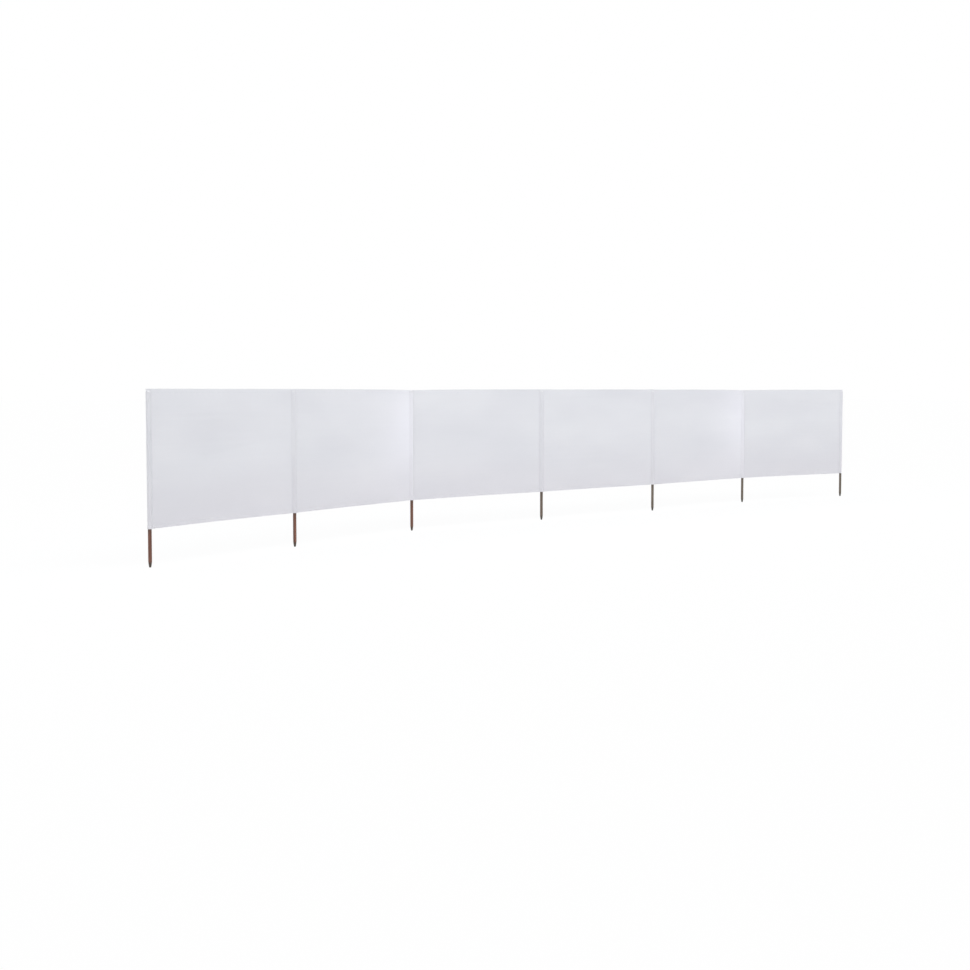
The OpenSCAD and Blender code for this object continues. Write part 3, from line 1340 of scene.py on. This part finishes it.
@dataclass
class Pole:
    """A round turned pole, whittled to a blunt point at the foot.

    Attributes:
        line: the line of poles.
        pole: the pole's number, from 1.
        sides: number of points round it.
        point: length of the sharpened stretch.
        blunt_r: radius of the blunt end.
        blunt_z: heights of the rings that round off the blunt end.
        blunt_in: how far these rings lie inside or outside the blunt end's radius.
        cuts: number of knife cuts round the point.
        cut_share: how deep the cuts go, as a share of the radius.
        cut_power: how narrow the cuts are. A higher power leaves broader ridges between them.
        cuts_end: the heights from the point's upper end between which the cuts run out.
        waist: how far the soft shoulder above the point draws in, and half its length.
        top_rounding: how far in and down the top is rounded.
        uneven: how far it is out of round.
        swells: number of swells that make it so.
        swell_length: their shortest and longest length up the pole.
        swell_lobes: their least number of high sides, and one more than the most.
        swell_shift: the furthest that one is turned or shifted, in radians.
        seed: what its pole's number is added to for the random draws.
    """

    line: Line
    pole: int
    sides: int = 40
    point: float = 30 * MM
    blunt_r: float = 6 * MM
    blunt_z: tuple[float, ...] = (0.0, 0.4 * MM, 1.2 * MM)
    blunt_in: tuple[float, ...] = (-1.1 * MM, -0.35 * MM, 0.1 * MM)
    cuts: int = 7
    cut_share: float = 0.05
    cut_power: int = 3
    cuts_end: tuple[float, float] = (-2 * MM, 3 * MM)
    waist: tuple[float, float] = (0.35 * MM, 4 * MM)
    top_rounding: tuple[float, float] = (1.4 * MM, 3 * MM)
    uneven: float = 0.06 * MM
    swells: int = 3
    swell_length: tuple[float, float] = (0.15, 0.6)
    swell_lobes: tuple[int, int] = (1, 4)
    swell_shift: float = 6.0
    seed: int = 700

    def rings(self) -> tuple[Array, Array]:
        """Shapes the pole's outline, with a rounded blunt end, a soft shoulder and a rounded top.

        Returns:
            Heights and radii of the rings, from the blunt end's rim up.
        """
        top = self.line.pole_top_z
        inwards, downwards = self.top_rounding
        waist_in, waist_half = self.waist
        z = spaced([(3 * MM, 2.5 * MM), (36 * MM, 14 * MM), (top - downwards, 1 * MM)], top)
        r = self.blunt_r + (self.line.pole_r - self.blunt_r) * np.clip(z / self.point, 0, 1)
        r -= waist_in * bump_at(z, self.point, waist_half)
        r -= inwards * smoothstep(z, top - downwards, top) ** 2
        return np.append(self.blunt_z, z), np.append(self.blunt_r + np.array(self.blunt_in), r)

    def build(self, finish: Material) -> Piece:
        """Builds the pole's mesh.

        Args:
            finish: the wood's material.

        Returns:
            The piece.
        """
        rng = np.random.default_rng(self.seed + self.pole)
        z, r = self.rings()
        z, r = z[:, None], r[:, None]
        angle = np.arange(self.sides)[None] * 2 * math.pi / self.sides
        whittled = 1 - smoothstep(z - self.point, *self.cuts_end)
        cuts = np.abs(np.sin(angle * self.cuts / 2 + rng.random())) ** self.cut_power
        r = r * (1 - self.cut_share * whittled * cuts)
        for _ in range(self.swells):
            length, shift = rng.uniform(*self.swell_length), rng.random() * self.swell_shift
            lobes, turn = rng.integers(*self.swell_lobes), rng.random() * self.swell_shift
            swell = np.sin(2 * math.pi * z / length + shift) * np.sin(angle * lobes + turn)
            r = r - self.uneven * (1 + swell)
        x, y = self.line.poles[self.pole - 1]
        points = np.stack([x + r * np.cos(angle), y + r * np.sin(angle), z + 0 * r], -1).reshape(-1, 3)
        index = np.arange(r.size).reshape(r.shape)
        turned = np.roll(index, -1, axis=1)
        quads = np.stack([index[:-1], turned[:-1], turned[1:], index[1:]], -1).reshape(-1, 4)
        foot, head = np.full(self.sides, r.size), np.full(self.sides, r.size + 1)
        low_cap = np.stack([turned[0], index[0], foot], -1)
        high_cap = np.stack([index[-1], turned[-1], head], -1)
        points = np.vstack([points, [x, y, z[0, 0]], [x, y, z[-1, 0]]])
        faces = quads.tolist() + low_cap.tolist() + high_cap.tolist()
        return mesh_piece(f"wood_pole_{self.pole}", points, faces, finish)


# Camera, stage and light


def turned_to(place: Sequence[float], aim: Sequence[float]) -> Euler:
    """Turns a camera or lamp at one place towards another."""
    return (Vector(aim) - Vector(place)).to_track_quat("-Z", "Y").to_euler()


@dataclass(frozen=True)
class Viewpoint:
    """Where the camera stands: at the front left of the line, level with the cloth's top edge.

    Attributes:
        distance: how far it stands from the middle pole.
        bearing_deg: the direction that the middle pole lies in, from the camera.
        look_deg: the direction that it looks in, from above.
        down_deg: how far it looks down.
        below_top: how far it stands below the cloth's top edge.
        lens_mm: its focal length.
        sees_to: the furthest distance that it sees.
    """

    distance: float = 11.73
    bearing_deg: float = 44.63
    look_deg: float = 46.79
    down_deg: float = 3.58
    below_top: float = 14 * MM
    lens_mm: float = 55.67
    sees_to: float = 200

    def build(self, line: Line) -> Piece:
        """Makes the scene's camera.

        Args:
            line: the line of poles.

        Returns:
            The camera.
        """
        camera = bpy.data.objects.new("camera", bpy.data.cameras.new("camera"))
        bpy.context.scene.collection.objects.link(camera)
        bearing, look, down = [math.radians(a) for a in (self.bearing_deg, self.look_deg, self.down_deg)]
        x, y = line.middle - self.distance * np.array([math.cos(bearing), math.sin(bearing)])
        camera.location = (x, y, line.top_z - self.below_top)
        ahead = (math.cos(look) * math.cos(down), math.sin(look) * math.cos(down), -math.sin(down))
        camera.rotation_euler = turned_to((0, 0, 0), ahead)
        camera.data.lens = self.lens_mm
        camera.data.clip_end = self.sees_to
        bpy.context.scene.camera = camera
        return camera


@dataclass(frozen=True)
class Softbox:
    """A soft area lamp that the camera doesn't see.

    Attributes:
        name: the lamp's name.
        place: where it stands.
        aim: where it points.
        size: its width and height.
        watts: its power.
        colour: its colour.
        flagged_to: the only pieces that its light falls on, or none for all pieces.
    """

    name: str
    place: tuple[float, float, float]
    aim: tuple[float, float, float]
    size: tuple[float, float]
    watts: float
    colour: str
    flagged_to: tuple[str, ...] = ()

    def build(self) -> Piece:
        """Makes the lamp.

        Returns:
            The lamp object.
        """
        data = bpy.data.lights.new(self.name, "AREA")
        data.shape, data.energy = "RECTANGLE", self.watts
        data.size, data.size_y = self.size
        data.color = linear(self.colour)[:3]
        lamp = bpy.data.objects.new(self.name, data)
        bpy.context.scene.collection.objects.link(lamp)
        lamp.location = self.place
        lamp.rotation_euler = turned_to(self.place, self.aim)
        lamp.visible_camera = lamp.visible_glossy = False
        if self.flagged_to:
            lit = bpy.data.collections.new(f"{self.name}_flags")
            for name in self.flagged_to:
                lit.objects.link(bpy.data.objects[name])
            lamp.light_linking.receiver_collection = lit
        return lamp


@dataclass(frozen=True)
class RoomLight:
    """Even light from all round that is a little stronger and greener from above and from one side.

    Attributes:
        level: mean strength.
        lean: how much stronger or weaker it gets towards or away from the bright side.
        bright_side: the direction that most light comes from.
        high: its colour from above.
        low: its colour from below.
    """

    level: float = 0.69
    lean: float = 0.13
    bright_side: tuple[float, float, float] = (-0.76, -0.38, 0.53)
    high: str = "#F8FFFC"
    low: str = "#FFFCFF"

    def build(self) -> None:
        """Makes the world, which the camera sees as plain white."""
        world = bpy.data.worlds.new("white_room")
        bpy.context.scene.world = world
        world.use_nodes = True
        tree = world.node_tree
        tree.nodes.clear()
        toward = add_node(tree, "TexCoord").outputs["Generated"]
        side = add_node(tree, "VectorMath", {"operation": "DOT_PRODUCT", 1: self.bright_side},
                        {0: toward})
        strength = add_node(tree, "Math", {"operation": "MULTIPLY_ADD", 1: self.lean, 2: self.level},
                            {0: side.outputs["Value"]})
        up = add_node(tree, "SeparateXYZ", {}, {0: toward}).outputs[2]
        share = add_node(tree, "MapRange", {"From Min": -1.0}, {"Value": up})
        colour = add_node(tree, "Mix", {"data_type": "RGBA", FIRST: linear(self.low),
                                        SECOND: linear(self.high)}, {0: share})
        light = add_node(tree, "Background", {}, {0: colour.outputs[MIXED], 1: strength})
        white = add_node(tree, "Background", {"Color": WHITE, "Strength": 1.0})
        both = add_node(tree, "MixShader", {}, {0: seen_directly(tree), 1: light, 2: white})
        add_node(tree, "OutputWorld", {}, {"Surface": both}).is_active_output = True


@dataclass(frozen=True)
class Studio:
    """A white room: a pale floor, even light all round, two overhead strips and small side lamps.

    Attributes:
        room: the light from all round.
        strip_watts: power of the overhead strips before and behind the line.
        strip_size: length and width of a strip.
        strip_at: how far a strip hangs to the left, out from the line and above the floor.
        strip_aim_z: the height on the line that a strip points at.
        strip_colour: colour of a strip's light.
        lit_poles: the poles with side lamps at their bay's end.
        side_share: height of the side lamps as a share of the cloth's height.
        bay_lamp_at: how far a bay's lamp stands along the bay before the pole, and in front of it.
        bay_lamp_size: its width and height.
        bay_lamp_watts: its power.
        bay_lamp_colour: its colour.
        sleeve_lamp_at: where a sleeve's lamp stands, in the same way.
        sleeve_lamp_size: its width and height.
        sleeve_lamp_watts: its power.
        sleeve_lamp_colour: its colour.
        floor_m: length of the floor's sides.
    """

    room: RoomLight = RoomLight()
    strip_watts: tuple[float, float] = (156.0, 70.0)
    strip_size: tuple[float, float] = (15.0, 1.2)
    strip_at: tuple[float, float, float] = (0.5, 2.4, 3.6)
    strip_aim_z: float = 0.8
    strip_colour: str = "#FBFFFD"
    lit_poles: tuple[int, ...] = (3, 6)
    side_share: float = 0.67
    bay_lamp_at: tuple[float, float] = (0.0, 0.34)
    bay_lamp_size: tuple[float, float] = (0.16, 0.42)
    bay_lamp_watts: float = 0.25
    bay_lamp_colour: str = "#F3EEFF"
    sleeve_lamp_at: tuple[float, float] = (0.60, 0.09)
    sleeve_lamp_size: tuple[float, float] = (0.10, 0.42)
    sleeve_lamp_watts: float = 0.72
    sleeve_lamp_colour: str = "#F4F2FF"
    floor_m: float = 300.0

    def floor(self) -> Piece:
        """Makes the floor that the poles' points stand on.

        Returns:
            The floor.
        """
        corners = np.array([[-1, -1, 0], [1, -1, 0], [1, 1, 0], [-1, 1, 0]]) * self.floor_m / 2
        floor = mesh_piece("floor", corners, [[0, 1, 2, 3]], PalePaper().material())
        return floor

    def side_lamps(self, line: Line, pole: int) -> list[Softbox]:
        """Two small lamps for the end of a bay and its sleeve, flagged off from the rest of the line.

        Args:
            line: the line of poles.
            pole: the pole that the bay ends at.

        Returns:
            One lamp in front of the bay's end, and one beside the bay that rakes across the sleeve.
        """
        bay = pole - 1
        _, along, back = line.bay_axes(bay)
        spot = line.poles[pole - 1]
        z = line.hem_z + self.side_share * line.height
        front, beside = [(*(spot - along * before - back * out), z)
                         for before, out in (self.bay_lamp_at, self.sleeve_lamp_at)]
        return [Softbox(f"bay_lamp_{pole}", front, (*spot, z), self.bay_lamp_size, self.bay_lamp_watts,
                        self.bay_lamp_colour, (f"cloth_bay_{bay}", f"hem_stitches_{bay}")),
                Softbox(f"sleeve_lamp_{pole}", beside, (*spot, z), self.sleeve_lamp_size,
                        self.sleeve_lamp_watts, self.sleeve_lamp_colour,
                        (f"sleeve_cloth_{pole}", f"sleeve_stitches_{pole}"))]

    def build(self, line: Line) -> None:
        """Builds the floor, the room's light and the lamps.

        Args:
            line: the line of poles.
        """
        self.floor()
        self.room.build()
        left, out, up = self.strip_at
        x, y = line.middle[0] - left, line.middle[1]
        for name, side, watts in zip(("overhead", "overhead_behind"), (-out, out), self.strip_watts):
            Softbox(name, (x, y + side, up), (x, y, self.strip_aim_z), self.strip_size, watts,
                    self.strip_colour).build()
        for pole in self.lit_poles:
            for lamp in self.side_lamps(line, pole):
                lamp.build()
        bpy.context.scene.view_settings.view_transform = "Standard"


# The whole windbreak


@dataclass
class Windbreak:
    """The whole windbreak: bays, sleeves, stitching and poles, dressed in their finishes.

    Attributes:
        line: the line of poles.
        dips: how far the top edge drops at a pole, where it does.
        tucks: each sleeve's tucks.
        stitcher: what sews the seams.
        cloth: the bays' finish.
        sleeve_cloth: the sleeves' finish, a little darker than the bays' as painted shade from the poles
            inside.
        thread: the stitches' finish.
        wood: the poles' finish.
    """

    line: Line
    dips: dict[int, float] = field(default_factory=lambda: {3: 7 * MM, 6: 6 * MM})
    tucks: dict[int, tuple[Tuck, ...]] = field(default_factory=lambda: {
        1: (Tuck(240, drift_deg=-14), Tuck(62, 0.7)),
        2: (Tuck(250, 0.55, 1.5 * MM, 8), Tuck(110, 0.9, 1.4 * MM)),
        3: (Tuck(286, 0.97, 2.8 * MM), Tuck(284, 0.34, 2.2 * MM), Tuck(80, 0.5)),
        4: (Tuck(238, drift_deg=6), Tuck(75, 0.8, 1.6 * MM, 10)),
        5: (Tuck(246, 0.45, 1.5 * MM, -8), Tuck(100, 0.9)),
        6: (Tuck(286, 0.95, 2.8 * MM), Tuck(284, 0.32, 2.0 * MM), Tuck(66, 0.6)),
        7: (Tuck(236, drift_deg=10), Tuck(120, 0.85, 1.5 * MM))})
    stitcher: Stitcher = Stitcher()
    cloth: Material = field(init=False)
    sleeve_cloth: Material = field(init=False)
    thread: Material = field(init=False)
    wood: Material = field(init=False)

    def __post_init__(self) -> None:
        """Makes the finishes that the pieces share."""
        self.cloth = WovenPolyester().material()
        # The sleeves' cloth is drawn a little darker than the bays': painted shade from the pole inside
        # it. It also lets less light through, as doubled cloth does.
        self.sleeve_cloth = WovenPolyester("woven_white_polyester_sleeve_painted_shade", light="#EEEBF0",
                                           shade="#E9E6EC", see_through=0.17).material()
        self.thread = SewingThread().material()
        self.wood = StainedPine(self.line.hem_z).material()

    def settle(self, piece: Piece, slot: Slot, *nodes: str) -> Piece:
        """Rides a piece on the frame and hides the nodes that it stands for.

        Args:
            piece: the piece.
            slot: the record's material slot. It is not used.
            nodes: the nodes that it stands for, if any.

        Returns:
            The piece.
        """
        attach(piece, BODY)
        if nodes:
            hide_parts(*nodes)
        LOG.info("%s: %d faces", piece.name, len(piece.data.polygons))
        return piece

    def build_pole(self, pole: int) -> None:
        """Builds one pole."""
        self.settle(Pole(self.line, pole).build(self.wood), Slot.WOOD, f"pole_{pole}")

    def build_sleeve(self, pole: int) -> None:
        """Builds one pole's sleeve and its stitches.

        Args:
            pole: the pole's number, from 1.
        """
        sleeve = Sleeve(self.line, pole, self.dips.get(pole, 0.0), self.tucks[pole])
        piece = self.settle(sleeve.build(self.sleeve_cloth), Slot.SLEEVE, f"pole_sleeve_{pole}")
        seams = sleeve.seams(self.stitcher.pitch)
        threads = self.stitcher.sew(f"sleeve_stitches_{pole}", seams, self.thread)
        stitches = self.settle(threads, Slot.SLEEVE)

    def build_bay(self, bay: int) -> None:
        """Builds one bay's cloth and its hem stitches.

        Args:
            bay: the bay's number, from 1.
        """
        cloth = BayCloth(self.line, bay, (self.dips.get(bay, 0.0), self.dips.get(bay + 1, 0.0)))
        piece = self.settle(cloth.build(self.cloth), Slot.SCREEN, f"fabric_bay_{bay}")
        seams = cloth.seams(self.stitcher.pitch)
        threads = self.stitcher.sew(f"hem_stitches_{bay}", seams, self.thread)
        stitches = self.settle(threads, Slot.SCREEN)

    def build(self) -> None:
        """Builds every piece in order along the line: all poles, all sleeves, all bays."""
        steps = ((self.build_pole, POLES), (self.build_sleeve, POLES), (self.build_bay, BAYS))
        for build, count in steps:
            for number in range(1, count + 1):
                build(number)


def main() -> None:
    """Builds the camera, the windbreak and the studio, in that order."""
    logging.basicConfig(level=logging.INFO, format="%(name)s %(message)s")
    line = Line.from_frame()
    Viewpoint().build(line)
    Windbreak(line).build()
    Studio().build(line)


if __name__ == "__main__":
    main()
